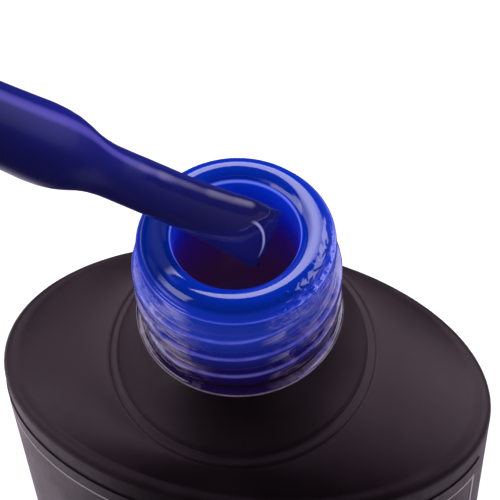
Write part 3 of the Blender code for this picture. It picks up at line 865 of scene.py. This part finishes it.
def overcap():
    """The long outer shell, and the glossy colour dot on its top."""
    bevel, ceiling = 0.9 * MM, OVERCAP_TOP - 1.6 * MM
    outline = rounded([
        (MIDDLE, OVERCAP_TOP), (OVERCAP_RADIUS - bevel, OVERCAP_TOP),
        (OVERCAP_RADIUS, OVERCAP_TOP - bevel), (OVERCAP_RADIUS, OVERCAP_FOOT),
        (OVERCAP_BORE, OVERCAP_FOOT), (OVERCAP_BORE, ceiling), (MIDDLE, ceiling),
    ], 0.45 * MM, 7)
    finish = lacquer_finish("satin_black_cap")
    on_wand(turned("cap_shell", outline, finish, 192), "wand", "overcap")
    dot_top = DOT_FOOT + DOT_THICKNESS
    dot = rounded([(MIDDLE, DOT_FOOT), (DOT_RADIUS, DOT_FOOT), (DOT_RADIUS, dot_top),
                   (MIDDLE, dot_top)], 0.1 * MM)
    gloss = moulded_finish("cobalt_dot", (0.001, 0.016, 0.33), 0.12)
    on_wand(turned("cap_dot", dot, gloss, 128), "wand", "cap_color_dot")


def small_metal():
    """Mixing balls and the tuft's staple keep their CAD shapes."""
    steel = moulded_finish("polished_steel", (0.6, 0.6, 0.62), 0.18, metallic=1.0)
    for name in ("mixing_ball_1", "mixing_ball_2", "tuft_staple"):
        node = frame["nodes"][name]
        node.data.materials.clear()
        node.data.materials.append(steel)


# ---------------------------------------------------------------- studio

CAMERA_AZIMUTH = 14.0  # angles in degrees, lens and sensor in millimetres
CAMERA_ELEVATION = 55.8
CAMERA_DISTANCE = 123.5 * MM
CAMERA_ROLL = -2.93
CAMERA_LENS = 132.35
CAMERA_SENSOR = 36
AIM_SIDE = 0.92 * MM  # how far right of the rim's centre, and below it, the camera looks
AIM_DOWN = 1.125 * MM


def camera():
    """The photo's long lens, looking down into the neck."""
    data = bpy.data.cameras.new("camera")
    data.lens = CAMERA_LENS
    data.sensor_width = CAMERA_SENSOR
    data.clip_start = 1 * MM
    data.clip_end = 10
    made = bpy.data.objects.new("camera", data)
    bpy.context.scene.collection.objects.link(made)
    around = Matrix.Rotation(math.radians(CAMERA_AZIMUTH), 3, "Z")
    tilt = math.radians(CAMERA_ELEVATION)
    view = around @ Vector((0, math.cos(tilt), -math.sin(tilt)))
    right = around @ Vector((1, 0, 0))
    up = right.cross(view)
    at = Vector((0, 0, RIM)) + right * AIM_SIDE - up * AIM_DOWN - view * CAMERA_DISTANCE
    roll = math.radians(CAMERA_ROLL)
    rolled_right = right * math.cos(roll) + up * math.sin(roll)
    rolled_up = up * math.cos(roll) - right * math.sin(roll)
    columns = Matrix((rolled_right, rolled_up, -view)).transposed()
    made.matrix_world = Matrix.Translation(at) @ columns.to_4x4()
    bpy.context.scene.camera = made


# Light, with angles in degrees
ROOM_LIGHT = 0.02
SOFT_EDGE = 2.5
# Softboxes beside the bottle: azimuth of the middle, half width, lowest and highest
# elevation, strength
SOFTBOXES = (
    (22, 33, 1.0, 40, 3.2),
    (203, 28, 3, 44, 3.0),
)
# The wide softbox behind and above the bottle, weaker towards its ends
OVERHEAD_AZIMUTH = CAMERA_AZIMUTH + 90
OVERHEAD_LOW = 31
OVERHEAD_HIGH = 70
OVERHEAD_SIDE = 66
OVERHEAD_STRENGTH = 5.8
OVERHEAD_ENDS = 0.28  # their strength as a share of the middle's
# Lit patches of the table past the bottle's ends: side, where they have faded out and where
# they start to, colour
LIT_PATCHES = (
    (-1, 160 * MM, 120 * MM, (0.90, 0.80, 0.90)),
    (1, 85 * MM, 65 * MM, (0.62, 0.54, 0.62)),
)
TABLE_RADIUS = 0.5
TABLE_THICKNESS = 4 * MM
TABLE_DROP = 0.05 * MM  # the gap that keeps the table clear of the bottle's base


def world():
    """Dark room with softboxes; what the camera sees directly is a white backdrop."""
    made = bpy.data.worlds.new("studio")
    bpy.context.scene.world = made
    made.use_nodes = True
    tree = made.node_tree
    tree.nodes.clear()

    def node(kind, operation, *values):
        step = tree.nodes.new(kind)
        if operation:
            step.operation = operation
        for socket, value in zip(step.inputs, values):
            if isinstance(value, bpy.types.NodeSocket):
                tree.links.new(value, socket)
            else:
                socket.default_value = value
        return step.outputs[0]

    def number(operation, *values):
        return node("ShaderNodeMath", operation, *values)

    def edge(value, low, high):
        step = tree.nodes.new("ShaderNodeMapRange")
        step.interpolation_type = "SMOOTHSTEP"
        tree.links.new(value, step.inputs["Value"])
        step.inputs["From Min"].default_value = low
        step.inputs["From Max"].default_value = high
        return step.outputs["Result"]

    direction = tree.nodes.new("ShaderNodeTexCoord").outputs["Generated"]
    split = tree.nodes.new("ShaderNodeSeparateXYZ")
    tree.links.new(direction, split.inputs[0])
    x, y, z = split.outputs
    elevation = number("ARCSINE", z)
    azimuth = number("ARCTAN2", y, x)
    light = ROOM_LIGHT
    soft = math.radians(SOFT_EDGE)
    for middle, half, low, high, strength in SOFTBOXES:
        turn = number("SUBTRACT", azimuth, math.radians(middle))
        away = number("ABSOLUTE", number("WRAP", turn, math.pi, -math.pi))
        half, low, high = (math.radians(v) for v in (half, low, high))
        mask = edge(away, half + soft, half - soft)
        mask = number("MULTIPLY", mask, edge(elevation, low - soft, low + soft))
        mask = number("MULTIPLY", mask, edge(elevation, high + soft, high - soft))
        light = number("ADD", light, number("MULTIPLY", mask, strength))
    ahead = math.radians(OVERHEAD_AZIMUTH)
    forward = number("ADD", number("MULTIPLY", x, math.cos(ahead)),
                     number("MULTIPLY", y, math.sin(ahead)))
    side = number("ABSOLUTE", number("SUBTRACT", number("MULTIPLY", x, math.sin(ahead)),
                                     number("MULTIPLY", y, math.cos(ahead))))
    climb = number("ARCTAN2", z, forward)
    low, high = math.radians(OVERHEAD_LOW), math.radians(OVERHEAD_HIGH)
    reach = math.sin(math.radians(OVERHEAD_SIDE))
    mask = number("MULTIPLY", edge(climb, low - soft, low + soft),
                  edge(climb, high + soft, high - soft))
    mask = number("MULTIPLY", mask, edge(side, reach + soft, reach - soft))
    falloff = number("MULTIPLY_ADD", edge(side, 0.75, 0.12), 1 - OVERHEAD_ENDS, OVERHEAD_ENDS)
    mask = number("MULTIPLY", mask, falloff)
    light = number("ADD", light, number("MULTIPLY", mask, OVERHEAD_STRENGTH))
    room = tree.nodes.new("ShaderNodeBackground")
    room.inputs["Color"].default_value = (1.0, 0.97, 0.99, 1)
    tree.links.new(light, room.inputs["Strength"])
    backdrop = tree.nodes.new("ShaderNodeBackground")
    backdrop.inputs["Color"].default_value = (1, 1, 1, 1)
    backdrop.inputs["Strength"].default_value = 1.05
    seen = tree.nodes.new("ShaderNodeLightPath").outputs["Is Camera Ray"]
    choose = tree.nodes.new("ShaderNodeMixShader")
    tree.links.new(seen, choose.inputs[0])
    tree.links.new(room.outputs[0], choose.inputs[1])
    tree.links.new(backdrop.outputs[0], choose.inputs[2])
    output = tree.nodes.new("ShaderNodeOutputWorld")
    tree.links.new(choose.outputs[0], output.inputs["Surface"])


def floor():
    """A plain white table top, which throws little light back except past the bottle's ends."""
    made = Finish("white_table", (0.86, 0.845, 0.85), 0.6, Specular_IOR_Level=0.05)
    pale = made.blend(made.spread(made.noise(6, 3), 0.3, 0.7), (0.85, 0.835, 0.845),
                      (0.88, 0.875, 0.875))
    seen = made.node("ShaderNodeLightPath").outputs["Is Camera Ray"]
    x, y = made.axis("X"), made.axis("Y")
    away = made.length(x, y)
    # what reflections and bounce light see of the table is painted: dark, painted shade, with
    # painted pools of light past the bottle's ends
    bounce = (0.012, 0.011, 0.012)
    for side, outer, inner, color in LIT_PATCHES:
        bearing = made.math("ARCTAN2", y, made.math("MULTIPLY", x, side))
        patch = made.math("MULTIPLY", made.near(bearing, 0.0, math.radians(50), math.radians(30)),
                          made.spread(away, outer, inner))
        bounce = made.blend(patch, bounce, color)
    made.link(made.blend(seen, bounce, pale), "Base Color")
    outline = [(TABLE_RADIUS, -TABLE_THICKNESS), (TABLE_RADIUS, -TABLE_DROP),
               (1 * MM, -TABLE_DROP)]
    table = turned("table_top", outline, made.material, 96)


bpy.context.scene.view_settings.view_transform = "Standard"
camera()
world()
floor()
glass_bottle()
neck_polish()
polish_fill()
front_label()
brush_coat()
bristle_tuft()
stem()
seal_liner()
inner_cap()
overcap()
small_metal()
